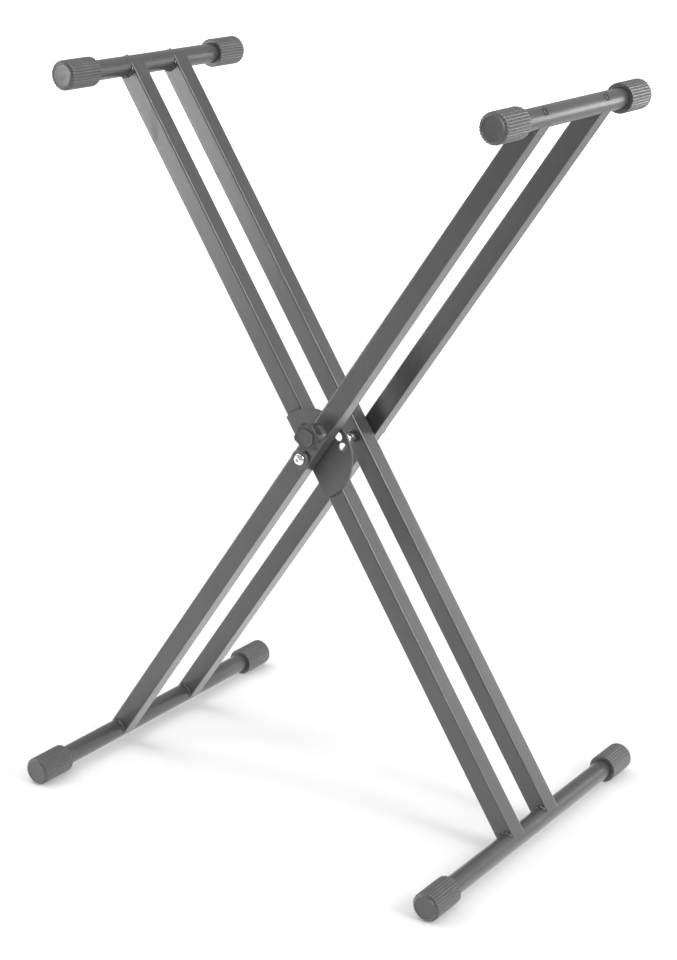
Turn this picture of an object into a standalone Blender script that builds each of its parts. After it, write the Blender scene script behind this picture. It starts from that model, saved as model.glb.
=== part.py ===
"""Folding keyboard stand: two double frames of square tube, their pivot bolts and a pull-pin lock."""

import math

import bmesh
import bpy
from mathutils import Matrix, Vector

# Everything below is written in millimetres and scaled to metres when a mesh is made
MM = 0.001
TOUCH_GAP = 0.3

# Legs: square steel tube with rolled corners
LEG_SIDE = 25.4
LEG_WALL = 1.5
LEG_CORNER = 1.8
LEG_LENGTH = 1071.0
HALF_ANGLE = math.radians(33.67)
INNER_LEG_SPACING = 86.5

# Crossbars: round steel tube
BAR_DIAMETER = 25.0
BAR_WALL = 1.5
TOP_BAR_LENGTH = 338.0
FOOT_BAR_LENGTH = 490.6
BAR_SEGMENTS = 32

# Push-on ribbed caps
CAP_WALL = 5.4
CAP_BASE = 5.0
CAP_SLEEVE = 48.0
CAP_RIBS = 28
CAP_RIB_DEPTH = 0.9
CAP_RIM = 4.0
CAP_GROOVE = 0.6
CAP_CHAMFER = 3.0

# Pivot bolts, one through each pair of neighbouring legs
BOLT_DIAMETER = 8.0
BOLT_CLEARANCE = 0.5
BOLT_HEAD_DIAMETER = 15.0
BOLT_HEAD_HEIGHT = 4.6
BOLT_SOCKET = 5.0
BOLT_SOCKET_FLOOR = 2.4
BOLT_END = 1.6
CUP_RIM = 4.5
CUP_THICKNESS = 3.4
CUP_LIP = 1.0
WASHER_RIM = 4.0
WASHER_THICKNESS = 1.6
NUT_WALL = 2.5
NUT_HEIGHT = 8.0
NUT_COLLAR_HEIGHT = 2.4
SPACER_RIM = 5.5
RUNNING_WASHER_THICKNESS = 0.85

# Lock plate, welded on the front inner leg
PLATE_THICKNESS = 3.0
PLATE_MARGIN = 5.5
LOCK_RADIUS = 45.5
LOCK_HOLE_CLEARANCE = 1.0
LOCK_PITCH = math.radians(18.0)
LOCK_HOLES_BELOW = 2
LOCK_HOLES_ABOVE = 1

# Pull pin on the front outer leg
PIN_DIAMETER = 10.0
PIN_CLEARANCE = 0.4
PIN_LENGTH = 13.0
PIN_CHAMFER = 1.2
PIN_COLLAR_RIM = 1.1
PIN_COLLAR_THICKNESS = 2.5
STEM_DIAMETER = 6.0
STEM_CLEARANCE = 0.5
HOUSING_WALL = 1.5
HOUSING_NOSE = 6.5
HOUSING_LIP = 2.5
COLLAR_NUT_WALL = 2.7
COLLAR_NUT_HEIGHT = 8.0
SPRING_WIRE = 1.2
SPRING_TURNS = 6
SPRING_POINTS_PER_TURN = 8
KNOB_LOBES = 6
KNOB_STEPS_PER_LOBE = 8
KNOB_RADIUS = 18.6
KNOB_LOBE_DEPTH = 3.3
KNOB_LOBE_TURN = math.radians(190.7)
KNOB_LENGTH = 11.0
KNOB_EDGE = 1.5
KNOB_STAND = 1.2
KNOB_CAP_MARGIN = 4.5
KNOB_CAP_HEIGHT = 1.5
KNOB_FACE_WALL = 2.5

# Button-head screws through the top bars
SCREW_HEAD_DIAMETER = 11.0
SCREW_HEAD_HEIGHT = 1.8
SCREW_SOCKET = 5.0
SCREW_SOCKET_DEPTH = 1.3
SCREW_DIAMETER = 6.0
SCREW_CLEARANCE = 0.4
SCREW_LENGTH = 8.0
SCREW_TURN = math.radians(14.0)

# Facets of the turned pieces, and how far a cutter runs past what it cuts
ROUND_SEGMENTS = 24
HOLE_SEGMENTS = 18
OVERRUN = 5.0

# Places that follow from the sizes
BAR_RADIUS = BAR_DIAMETER / 2
CAP_BORE = BAR_RADIUS + TOUCH_GAP
CAP_RADIUS = CAP_BORE + CAP_WALL
HALF_LEG = LEG_LENGTH / 2
HALF_SIDE = LEG_SIDE / 2
SIDE_GAP = PLATE_THICKNESS + RUNNING_WASHER_THICKNESS + 3 * TOUCH_GAP
INNER_PLANE = INNER_LEG_SPACING / 2
OUTER_PLANE = INNER_PLANE + LEG_SIDE + SIDE_GAP
PIVOT_HEIGHT = CAP_RADIUS + HALF_LEG * math.cos(HALF_ANGLE)
PIVOT = Vector((0.0, 0.0, PIVOT_HEIGHT))
INNER_UP = Vector((-math.sin(HALF_ANGLE), 0.0, math.cos(HALF_ANGLE)))
OUTER_UP = Vector((math.sin(HALF_ANGLE), 0.0, math.cos(HALF_ANGLE)))
OUTER_FACE = OUTER_PLANE + HALF_SIDE
INNER_FACE = INNER_PLANE - HALF_SIDE
PLATE_BACK = INNER_PLANE + HALF_SIDE + TOUCH_GAP
PLATE_FRONT = PLATE_BACK + PLATE_THICKNESS
OUTER_BACK = OUTER_PLANE - HALF_SIDE
BOLT_RADIUS = BOLT_DIAMETER / 2
BOLT_HEAD_RADIUS = BOLT_HEAD_DIAMETER / 2
BOLT_HOLE_RADIUS = BOLT_RADIUS + BOLT_CLEARANCE
PIN_RADIUS = PIN_DIAMETER / 2
LOCK_HOLE_RADIUS = PIN_RADIUS + LOCK_HOLE_CLEARANCE
PLATE_RADIUS = LOCK_RADIUS + LOCK_HOLE_RADIUS + PLATE_MARGIN
PIN_TIP = PLATE_FRONT + TOUCH_GAP
PIN_COLLAR_RADIUS = PIN_RADIUS + PIN_COLLAR_RIM
PIN_COLLAR_BACK = PIN_TIP + PIN_LENGTH
PIN_COLLAR_FRONT = PIN_COLLAR_BACK + PIN_COLLAR_THICKNESS
STEM_RADIUS = STEM_DIAMETER / 2
HOUSING_BORE = PIN_COLLAR_RADIUS + PIN_CLEARANCE
HOUSING_RADIUS = HOUSING_BORE + HOUSING_WALL
HOUSING_BACK = OUTER_BACK + LEG_WALL + TOUCH_GAP
COLLAR_NUT_START = OUTER_FACE + TOUCH_GAP
HOUSING_FRONT = COLLAR_NUT_START + COLLAR_NUT_HEIGHT + HOUSING_NOSE
SPRING_RADIUS = (STEM_RADIUS + HOUSING_BORE) / 2
KNOB_BACK = HOUSING_FRONT + KNOB_STAND
KNOB_FRONT = KNOB_BACK + KNOB_LENGTH
KNOB_BORE_END = KNOB_FRONT - KNOB_FACE_WALL


def clear_scene():
    """Remove every object, so the script starts from nothing."""
    for item in list(bpy.data.objects):
        bpy.data.objects.remove(item, do_unlink=True)


def material(name, color, roughness, metallic=0.0):
    """A Principled material of one colour."""
    found = bpy.data.materials.get(name)
    if found:
        return found
    made = bpy.data.materials.new(name)
    made.use_nodes = True
    shader = made.node_tree.nodes["Principled BSDF"]
    shader.inputs["Base Color"].default_value = (*color, 1.0)
    shader.inputs["Roughness"].default_value = roughness
    shader.inputs["Metallic"].default_value = metallic
    made.diffuse_color = (*color, 1.0)
    return made


def powder_coat():
    return material("charcoal_powder_coat", (0.13, 0.13, 0.135), 0.42, 0.1)


def cap_rubber():
    return material("cap_rubber", (0.12, 0.12, 0.12), 0.7)


def black_plastic():
    return material("black_plastic", (0.03, 0.03, 0.03), 0.45)


def bright_zinc():
    return material("bright_zinc", (0.75, 0.76, 0.77), 0.25, 1.0)


def node(name, bm, parent, finish, origin=None, turn=None, smooth_angle=35.0):
    """Make an object from a bmesh in millimetres, turned, then moved, and parented to an empty."""
    mesh = bpy.data.meshes.new(name)
    bmesh.ops.scale(bm, vec=(MM, MM, MM), verts=bm.verts)
    bmesh.ops.recalc_face_normals(bm, faces=bm.faces)
    bm.to_mesh(mesh)
    bm.free()
    mesh.shade_smooth()
    mesh.set_sharp_from_angle(angle=math.radians(smooth_angle))
    mesh.materials.append(finish)
    made = bpy.data.objects.new(name, mesh)
    bpy.context.scene.collection.objects.link(made)
    place = Matrix.Translation((origin or Vector()) * MM)
    made.parent = parent
    made.matrix_basis = parent.matrix_world.inverted() @ place @ (turn or Matrix.Identity(4))
    return made


def anchor(name, place):
    """An empty that carries a body, standing on the axis that the body moves about."""
    made = bpy.data.objects.new(name, None)
    bpy.context.scene.collection.objects.link(made)
    made.location = place * MM
    made.empty_display_size = 0.04
    bpy.context.view_layer.update()
    return made


def cutter(name, bm, origin=None, turn=None):
    """An object that only cuts others, kept out of the model."""
    bmesh.ops.scale(bm, vec=(MM, MM, MM), verts=bm.verts)
    bmesh.ops.recalc_face_normals(bm, faces=bm.faces)
    mesh = bpy.data.meshes.new(name)
    bm.to_mesh(mesh)
    bm.free()
    made = bpy.data.objects.new(name, mesh)
    bpy.context.scene.collection.objects.link(made)
    made.matrix_basis = Matrix.Translation((origin or Vector()) * MM) @ (turn or Matrix.Identity(4))
    made.hide_render = True
    made.display_type = "WIRE"
    return made


def boolean(target, tool, operation="DIFFERENCE"):
    step = target.modifiers.new(f"{operation.lower()}_{tool.name}", "BOOLEAN")
    step.operation = operation
    step.solver = "EXACT"
    step.object = tool


def turned(profile, segments=ROUND_SEGMENTS):
    """Spin a closed outline of (radius, place along Y) points about the Y axis."""
    bm = bmesh.new()
    points = [bm.verts.new((radius, along, 0.0)) for radius, along in profile]
    edges = [bm.edges.new(pair) for pair in zip(points, points[1:])]
    if profile[0][0] > 0.0:
        edges.append(bm.edges.new((points[-1], points[0])))
    bmesh.ops.spin(
        bm,
        geom=points + edges,
        cent=(0.0, 0.0, 0.0),
        axis=(0.0, 1.0, 0.0),
        angle=math.tau,
        steps=segments,
        use_merge=True,
    )
    bmesh.ops.remove_doubles(bm, verts=bm.verts, dist=1e-4)
    return bm


def rod(radius, start, end, segments=ROUND_SEGMENTS):
    """A solid round rod along Y."""
    return turned([(0.0, start), (radius, start), (radius, end), (0.0, end)], segments)


def ring(outer, inner, start, end, segments=ROUND_SEGMENTS):
    """A tube or washer along Y."""
    return turned([(outer, start), (outer, end), (inner, end), (inner, start)], segments)


def prism(outline, start, end):
    """Extrude an outline of (x, z) points along Y."""
    bm = bmesh.new()
    base = bm.faces.new([bm.verts.new((x, start, z)) for x, z in outline])
    grown = bmesh.ops.extrude_face_region(bm, geom=[base])
    moved = [item for item in grown["geom"] if isinstance(item, bmesh.types.BMVert)]
    bmesh.ops.translate(bm, vec=(0.0, end - start, 0.0), verts=moved)
    return bm


def regular(sides, across_flats, turn=0.0):
    """Corners of a regular polygon, given the distance across its flats."""
    reach = across_flats / 2 / math.cos(math.pi / sides)
    steps = (turn + math.tau * i / sides for i in range(sides))
    return [(reach * math.cos(a), reach * math.sin(a)) for a in steps]


def arc(radius, first, last, steps):
    """Points of an arc about the origin, both ends included."""
    angles = (first + (last - first) * i / steps for i in range(steps + 1))
    return [(radius * math.cos(a), radius * math.sin(a)) for a in angles]


def rounded_square(side, corner, steps):
    """Outline of a square with rounded corners."""
    middle = side / 2 - corner
    points = []
    for quarter in range(4):
        turn = math.pi / 2 * quarter
        sign_x = 1 if quarter in (0, 3) else -1
        sign_z = 1 if quarter in (0, 1) else -1
        for x, z in arc(corner, turn, turn + math.pi / 2, steps):
            points.append((x + sign_x * middle, z + sign_z * middle))
    return points


def along(direction):
    """Turn that lays a piece's own Z along a direction in the XZ plane, its Y kept."""
    return Vector((0.0, 0.0, 1.0)).rotation_difference(direction).to_matrix().to_4x4()


def square_tube(length):
    """The leg: an outline extruded along Z, with the bore cut right through."""
    outer = rounded_square(LEG_SIDE, LEG_CORNER, 3)
    inner = rounded_square(LEG_SIDE - 2 * LEG_WALL, LEG_CORNER - LEG_WALL, 3)
    bm = bmesh.new()
    loops = []
    for outline in (outer, inner):
        points = [bm.verts.new((x, y, -length / 2)) for x, y in outline]
        loops.append([bm.edges.new((a, b)) for a, b in zip(points, points[1:] + points[:1])])
    wall = bmesh.ops.bridge_loops(bm, edges=loops[0] + loops[1])
    grown = bmesh.ops.extrude_face_region(bm, geom=wall["faces"])
    moved = [item for item in grown["geom"] if isinstance(item, bmesh.types.BMVert)]
    bmesh.ops.translate(bm, vec=(0.0, 0.0, length), verts=moved)
    return bm


def leg(name, parent, plane, up, copes):
    """One leg, coped over the crossbar at each end and drilled for the pivot bolt."""
    middle = PIVOT + Vector((0.0, plane, 0.0))
    made = node(name, square_tube(LEG_LENGTH), parent, powder_coat(), middle, along(up), 20.0)
    for cope in copes:
        boolean(made, cope)
    drill = rod(BOLT_HOLE_RADIUS, plane - LEG_SIDE, plane + LEG_SIDE, HOLE_SEGMENTS)
    boolean(made, cutter(f"{name}_bolt_drill", drill, PIVOT))
    return made


def cope_cutter(name, place, length):
    """The crossbar's own round form, grown by the gap of a touching piece."""
    return cutter(name, rod(BAR_RADIUS + TOUCH_GAP, -length / 2, length / 2, BAR_SEGMENTS), place)


def crossbar(name, parent, place, length):
    """A round tube along Y, open at both ends."""
    tube = ring(BAR_RADIUS, BAR_RADIUS - BAR_WALL, -length / 2, length / 2, BAR_SEGMENTS)
    return node(name, tube, parent, powder_coat(), place)


def cap_mesh(facing):
    """Ribbed push-on cap along Y: a turned blank, fluted by drawing in every other meridian."""
    mouth = CAP_BASE + CAP_SLEEVE
    disc = CAP_RADIUS - CAP_RIM
    profile = [
        (0.0, 0.0),
        (disc, 0.0),
        (disc + CAP_GROOVE / 2, CAP_GROOVE),
        (CAP_RADIUS, CAP_CHAMFER),
        (CAP_RADIUS, mouth),
        (CAP_BORE, mouth),
        (CAP_BORE, CAP_BASE),
        (0.0, CAP_BASE),
    ]
    steps = 2 * CAP_RIBS
    bm = turned(profile, steps)
    for point in bm.verts:
        radius = math.hypot(point.co.x, point.co.z)
        meridian = round(math.atan2(point.co.z, point.co.x) / math.tau * steps)
        if radius > CAP_RADIUS - CAP_RIB_DEPTH / 2 and meridian % 2:
            inward = (radius - CAP_RIB_DEPTH) / radius
            point.co.x *= inward
            point.co.z *= inward
    if facing > 0:
        bmesh.ops.rotate(bm, cent=(0, 0, 0), matrix=Matrix.Rotation(math.pi, 3, "Z"), verts=bm.verts)
    return bm


def caps(prefix, parent, place, length):
    """A cap on each end of a crossbar, bottomed on the tube's end."""
    for end, facing in (("front", -1), ("rear", 1)):
        reach = length / 2 + TOUCH_GAP + CAP_BASE
        spot = place + Vector((0.0, facing * reach, 0.0))
        node(f"{prefix}_cap_{end}", cap_mesh(facing), parent, cap_rubber(), spot, None, 25.0)


def bar_screws(prefix, parent, bar, place, up):
    """Button-head screws through the top of a bar, one in line with each leg of its frame."""
    plane = INNER_PLANE if up is INNER_UP else OUTER_PLANE
    side = 1 if up.x > 0 else -1
    lean = Matrix.Rotation(side * SCREW_TURN, 3, "Y") @ up
    turn = Vector((0.0, -1.0, 0.0)).rotation_difference(lean).to_matrix().to_4x4()
    seat = BAR_RADIUS + TOUCH_GAP
    top = seat + SCREW_HEAD_HEIGHT
    head = SCREW_HEAD_DIAMETER / 2
    for end, facing in (("front", -1), ("rear", 1)):
        spot = place + Vector((0.0, facing * plane, 0.0))
        profile = [
            (0.0, -top),
            (head * 0.6, -top),
            (head * 0.86, -top + SCREW_HEAD_HEIGHT * 0.3),
            (head, -seat),
            (SCREW_DIAMETER / 2, -seat),
            (SCREW_DIAMETER / 2, -seat + SCREW_LENGTH),
            (0.0, -seat + SCREW_LENGTH),
        ]
        name = f"{prefix}_screw_{end}"
        screw = node(name, turned(profile, HOLE_SEGMENTS), parent, powder_coat(), spot, turn)
        key = prism(regular(6, SCREW_SOCKET), -top - OVERRUN, -top + SCREW_SOCKET_DEPTH)
        boolean(screw, cutter(f"{name}_key", key, spot, turn))
        drill = rod(SCREW_DIAMETER / 2 + SCREW_CLEARANCE, -seat - OVERRUN, 0.0, HOLE_SEGMENTS)
        boolean(bar, cutter(f"{name}_drill", drill, spot, turn))


def pivot_set(prefix, outer_parent, inner_parent, facing, filler_name, filler_end):
    """Bolt, cup washer, filler, flat washer and lock nut of one pair of legs, the bolt's head outwards."""
    turn = Matrix.Identity(4) if facing < 0 else Matrix.Rotation(math.pi, 4, "Z")
    cup_seat = -OUTER_FACE - TOUCH_GAP
    head_seat = cup_seat - CUP_THICKNESS - TOUCH_GAP
    nut_washer = -INNER_FACE + TOUCH_GAP
    nut_start = nut_washer + WASHER_THICKNESS + TOUCH_GAP
    shank_end = nut_start + NUT_HEIGHT + BOLT_END
    head = BOLT_HEAD_RADIUS
    shank = BOLT_RADIUS
    bolt_profile = [
        (0.0, head_seat - BOLT_HEAD_HEIGHT),
        (head * 0.50, head_seat - BOLT_HEAD_HEIGHT * 0.94),
        (head * 0.86, head_seat - BOLT_HEAD_HEIGHT * 0.60),
        (head, head_seat - BOLT_HEAD_HEIGHT * 0.14),
        (head, head_seat),
        (shank, head_seat),
        (shank, shank_end - 0.8),
        (shank - 0.8, shank_end),
        (0.0, shank_end),
    ]
    bolt = node(f"{prefix}_pivot_bolt", turned(bolt_profile), outer_parent, bright_zinc(), PIVOT, turn)
    socket_start = head_seat - BOLT_HEAD_HEIGHT - OVERRUN
    socket = prism(regular(6, BOLT_SOCKET), socket_start, head_seat - BOLT_SOCKET_FLOOR)
    boolean(bolt, cutter(f"{prefix}_socket_cutter", socket, PIVOT, turn))

    bore = BOLT_HOLE_RADIUS
    cup = head + CUP_RIM
    cup_profile = [
        (cup, cup_seat),
        (bore, cup_seat),
        (bore, cup_seat - CUP_THICKNESS),
        (head + 0.8, cup_seat - CUP_THICKNESS),
        (head + 1.4, cup_seat - CUP_THICKNESS - CUP_LIP),
        (cup - 1.2, cup_seat - CUP_THICKNESS - CUP_LIP),
        (cup, cup_seat - CUP_THICKNESS + 0.2),
    ]
    node(f"{prefix}_pivot_cup", turned(cup_profile), outer_parent, black_plastic(), PIVOT, turn)

    filler = ring(bore + SPACER_RIM, bore, -OUTER_BACK + TOUCH_GAP, filler_end)
    node(f"{prefix}_{filler_name}", filler, inner_parent, black_plastic(), PIVOT, turn)

    washer = ring(bore + WASHER_RIM, bore, nut_washer, nut_washer + WASHER_THICKNESS)
    node(f"{prefix}_nut_washer", washer, inner_parent, bright_zinc(), PIVOT, turn)
    lock_nut(f"{prefix}_pivot_nut", outer_parent, nut_start, turn)


def lock_nut(name, parent, start, turn):
    """Prevailing-torque nut: a turned blank with its collar, cut to a hexagon."""
    flats = BOLT_RADIUS + NUT_WALL
    corners = flats / math.cos(math.pi / 6)
    bore = BOLT_RADIUS + TOUCH_GAP
    shoulder = start + NUT_HEIGHT - NUT_COLLAR_HEIGHT
    profile = [
        (bore, start),
        (flats * 0.98, start),
        (corners, start + 0.7),
        (corners, shoulder - 0.7),
        (flats * 0.96, shoulder),
        (flats * 0.90, shoulder + NUT_COLLAR_HEIGHT * 0.7),
        (flats * 0.72, start + NUT_HEIGHT),
        (bore, start + NUT_HEIGHT),
    ]
    made = node(name, turned(profile), parent, bright_zinc(), PIVOT, turn)
    blank = prism(regular(6, 2 * flats), start - OVERRUN, start + NUT_HEIGHT + OVERRUN)
    boolean(made, cutter(f"{name}_hexagon", blank, PIVOT, turn), "INTERSECT")


def lock_plate(parent):
    """Half disc with the locking holes, its straight edge flush with the leg's outer edge."""
    across = Vector((INNER_UP.z, 0.0, -INNER_UP.x))
    reach = math.asin(HALF_SIDE / PLATE_RADIUS)
    outline = arc(PLATE_RADIUS, math.pi / 2 + reach, -math.pi / 2 - reach, 40)
    turn = along(INNER_UP)
    made = node("lock_plate", prism(outline, -PLATE_FRONT, -PLATE_BACK), parent, powder_coat(), PIVOT, turn)
    front = -PLATE_FRONT - OVERRUN
    back = -PLATE_BACK + OVERRUN
    boolean(made, cutter("plate_pivot_drill", rod(BOLT_HOLE_RADIUS, front, back, HOLE_SEGMENTS), PIVOT))
    pin_from_leg = OUTER_UP.angle(INNER_UP)
    for step in range(-LOCK_HOLES_ABOVE, LOCK_HOLES_BELOW + 1):
        angle = pin_from_leg + step * LOCK_PITCH
        spot = PIVOT + LOCK_RADIUS * (math.cos(angle) * INNER_UP + math.sin(angle) * across)
        hole = rod(LOCK_HOLE_RADIUS, front, back, HOLE_SEGMENTS)
        boolean(made, cutter(f"lock_hole_cutter_{step + LOCK_HOLES_ABOVE}", hole, spot))


def pull_pin(outer_parent, slide_parent, front_leg, spot):
    """Spring-loaded pin: housing and collar nut on the leg; pin, spring and knob inside and before it."""
    chamfer = HOUSING_WALL / 2
    lip_bore = STEM_RADIUS + STEM_CLEARANCE
    profile = [
        (HOUSING_RADIUS - chamfer, -HOUSING_FRONT),
        (HOUSING_RADIUS, -HOUSING_FRONT + chamfer),
        (HOUSING_RADIUS, -HOUSING_BACK),
        (HOUSING_BORE, -HOUSING_BACK),
        (HOUSING_BORE, -HOUSING_FRONT + HOUSING_LIP),
        (lip_bore, -HOUSING_FRONT + HOUSING_LIP),
        (lip_bore, -HOUSING_FRONT),
    ]
    node("lock_housing", turned(profile), outer_parent, bright_zinc(), spot)
    around = HOUSING_RADIUS + TOUCH_GAP
    seat_hole = rod(around, -OUTER_FACE - OVERRUN, -HOUSING_BACK, HOLE_SEGMENTS)
    boolean(front_leg, cutter("housing_seat_drill", seat_hole, spot))
    guide = rod(PIN_RADIUS + PIN_CLEARANCE, -OUTER_PLANE, -OUTER_BACK + OVERRUN, HOLE_SEGMENTS)
    boolean(front_leg, cutter("pin_guide_drill", guide, spot))

    nut_end = COLLAR_NUT_START + COLLAR_NUT_HEIGHT
    flats = around + COLLAR_NUT_WALL
    corners = flats / math.cos(math.pi / 6)
    nut_profile = [
        (around, -COLLAR_NUT_START),
        (corners, -COLLAR_NUT_START),
        (corners, -nut_end + COLLAR_NUT_HEIGHT / 8),
        (flats * 0.96, -nut_end),
        (around, -nut_end),
    ]
    nut = node("lock_collar_nut", turned(nut_profile), outer_parent, bright_zinc(), spot)
    blank = prism(regular(6, 2 * flats), -nut_end - OVERRUN, -COLLAR_NUT_START + OVERRUN)
    boolean(nut, cutter("collar_nut_hexagon", blank, spot), "INTERSECT")

    stem_front = KNOB_BORE_END - TOUCH_GAP
    pin_profile = [
        (0.0, -PIN_TIP),
        (PIN_RADIUS - PIN_CHAMFER, -PIN_TIP),
        (PIN_RADIUS, -PIN_TIP - PIN_CHAMFER),
        (PIN_RADIUS, -PIN_COLLAR_BACK),
        (PIN_COLLAR_RADIUS, -PIN_COLLAR_BACK),
        (PIN_COLLAR_RADIUS, -PIN_COLLAR_FRONT),
        (STEM_RADIUS, -PIN_COLLAR_FRONT),
        (STEM_RADIUS, -stem_front),
        (0.0, -stem_front),
    ]
    node("lock_pin", turned(pin_profile), slide_parent, bright_zinc(), spot)
    spring(slide_parent, spot)
    knob(slide_parent, spot)


def spring(parent, spot):
    """Compression spring between the pin's collar and the housing's lip."""
    first = PIN_COLLAR_FRONT + TOUCH_GAP + SPRING_WIRE / 2
    last = HOUSING_FRONT - HOUSING_LIP - TOUCH_GAP - SPRING_WIRE / 2
    count = SPRING_TURNS * SPRING_POINTS_PER_TURN
    curve = bpy.data.curves.new("lock_spring", "CURVE")
    curve.dimensions = "3D"
    curve.bevel_depth = SPRING_WIRE / 2 * MM
    curve.bevel_resolution = 1
    curve.use_fill_caps = True
    line = curve.splines.new("POLY")
    line.points.add(count)
    for i in range(count + 1):
        angle = math.tau * i / SPRING_POINTS_PER_TURN
        depth = first + (last - first) * i / count
        x = SPRING_RADIUS * math.cos(angle)
        z = SPRING_RADIUS * math.sin(angle)
        line.points[i].co = (x * MM, -depth * MM, z * MM, 1.0)
    curve.materials.append(bright_zinc())
    made = bpy.data.objects.new("lock_spring", curve)
    bpy.context.scene.collection.objects.link(made)
    made.parent = parent
    made.matrix_basis = parent.matrix_world.inverted() @ Matrix.Translation(spot * MM)


def knob(parent, spot):
    """Lobed pull knob: a wavy outline extruded along Y, its cap disc and its blind bore."""
    mean = KNOB_RADIUS - KNOB_LOBE_DEPTH / 2
    outline = []
    steps = KNOB_STEPS_PER_LOBE * KNOB_LOBES
    for i in range(steps):
        angle = math.tau * i / steps
        reach = mean + KNOB_LOBE_DEPTH / 2 * math.cos(KNOB_LOBES * (angle - KNOB_LOBE_TURN))
        outline.append((reach * math.cos(angle), reach * math.sin(angle)))
    bm = prism(outline, -KNOB_FRONT, -KNOB_BACK)
    rims = [edge for edge in bm.edges if abs(edge.verts[0].co.y - edge.verts[1].co.y) < 1e-6]
    bmesh.ops.bevel(bm, geom=rims, offset=KNOB_EDGE, segments=1, profile=0.5, affect="EDGES", material=-1)
    made = node("lock_knob", bm, parent, black_plastic(), spot)
    disc = KNOB_RADIUS - KNOB_LOBE_DEPTH - KNOB_CAP_MARGIN
    cap_front = -KNOB_FRONT - KNOB_CAP_HEIGHT
    bevel = KNOB_CAP_HEIGHT / 2
    cap_profile = [
        (0.0, cap_front),
        (disc - bevel, cap_front),
        (disc, cap_front + bevel),
        (disc, -KNOB_FRONT + KNOB_FACE_WALL / 2),
        (0.0, -KNOB_FRONT + KNOB_FACE_WALL / 2),
    ]
    boolean(made, cutter("knob_cap_disc", turned(cap_profile), spot), "UNION")
    bore = rod(STEM_RADIUS + TOUCH_GAP, -KNOB_BORE_END, -KNOB_BACK + OVERRUN, HOLE_SEGMENTS)
    boolean(made, cutter("knob_bore", bore, spot))


def build():
    clear_scene()
    outer = anchor("outer_frame", PIVOT)
    inner = anchor("inner_frame", PIVOT)
    pin_spot = PIVOT + LOCK_RADIUS * OUTER_UP
    plunger = anchor("plunger", pin_spot - Vector((0.0, KNOB_BACK, 0.0)))

    frames = (
        ("outer", outer, OUTER_UP, OUTER_PLANE, "right_top", "left_foot"),
        ("inner", inner, INNER_UP, INNER_PLANE, "left_top", "right_foot"),
    )
    legs = {}
    for word, parent, up, plane, top_word, foot_word in frames:
        top = PIVOT + HALF_LEG * up
        foot = PIVOT - HALF_LEG * up
        copes = [
            cope_cutter(f"{word}_top_cope", top, TOP_BAR_LENGTH),
            cope_cutter(f"{word}_foot_cope", foot, FOOT_BAR_LENGTH),
        ]
        for end, facing in (("front", -1), ("rear", 1)):
            name = f"{end}_{word}_leg"
            legs[name] = leg(name, parent, facing * plane, up, copes)
        top_bar = crossbar(f"{top_word}_bar", parent, top, TOP_BAR_LENGTH)
        crossbar(f"{foot_word}_bar", parent, foot, FOOT_BAR_LENGTH)
        caps(top_word, parent, top, TOP_BAR_LENGTH)
        caps(foot_word, parent, foot, FOOT_BAR_LENGTH)
        bar_screws(top_word, parent, top_bar, top, up)

    lock_plate(inner)
    pull_pin(outer, plunger, legs["front_outer_leg"], pin_spot)
    pivot_set("front", outer, inner, -1, "running_washer", -PLATE_FRONT - TOUCH_GAP)
    pivot_set("rear", outer, inner, 1, "leg_spacer", -PLATE_BACK)


build()
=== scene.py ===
"""Looks of the folding keyboard stand: coped and welded tube frames, ribbed caps, pivot sets and pull-pin lock."""

import logging
import math
import random
from dataclasses import dataclass
from enum import Enum
from typing import Callable, Sequence

import bmesh
import bpy
from mathutils import Matrix, Vector


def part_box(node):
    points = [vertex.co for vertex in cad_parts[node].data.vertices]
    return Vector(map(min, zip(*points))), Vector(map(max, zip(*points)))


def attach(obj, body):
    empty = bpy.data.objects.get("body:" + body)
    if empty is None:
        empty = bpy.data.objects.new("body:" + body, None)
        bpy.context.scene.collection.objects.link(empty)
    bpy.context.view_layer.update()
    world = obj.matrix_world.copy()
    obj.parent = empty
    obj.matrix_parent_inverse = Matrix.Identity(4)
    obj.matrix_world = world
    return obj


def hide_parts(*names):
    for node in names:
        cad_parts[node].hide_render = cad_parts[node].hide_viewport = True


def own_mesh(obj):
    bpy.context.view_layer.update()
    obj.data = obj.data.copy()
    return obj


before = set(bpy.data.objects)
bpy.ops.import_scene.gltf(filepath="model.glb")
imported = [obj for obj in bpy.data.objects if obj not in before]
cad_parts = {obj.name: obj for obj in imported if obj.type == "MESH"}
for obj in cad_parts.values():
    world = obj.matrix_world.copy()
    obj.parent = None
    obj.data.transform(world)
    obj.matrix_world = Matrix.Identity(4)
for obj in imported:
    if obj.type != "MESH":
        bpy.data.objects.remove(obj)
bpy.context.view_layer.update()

LOG = logging.getLogger("stand")

# Shapes are drawn in millimetres and scaled to metres when a piece is made
MM = 0.001

Point = tuple[float, float]
Corner = tuple[float, float, float]


class Facing(Enum):
    """The side of the stand that a piece looks out of."""

    FRONT = "front"
    REAR = "rear"


class Slot(Enum):
    """The record's material slots."""

    FRAME = "frame_coat"
    RUBBER = "cap_rubber"
    PLASTIC = "black_plastic"
    CHROME = "bright_chrome"
    ZINC = "zinc_plate"
    SPRING = "spring_steel"


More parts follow.
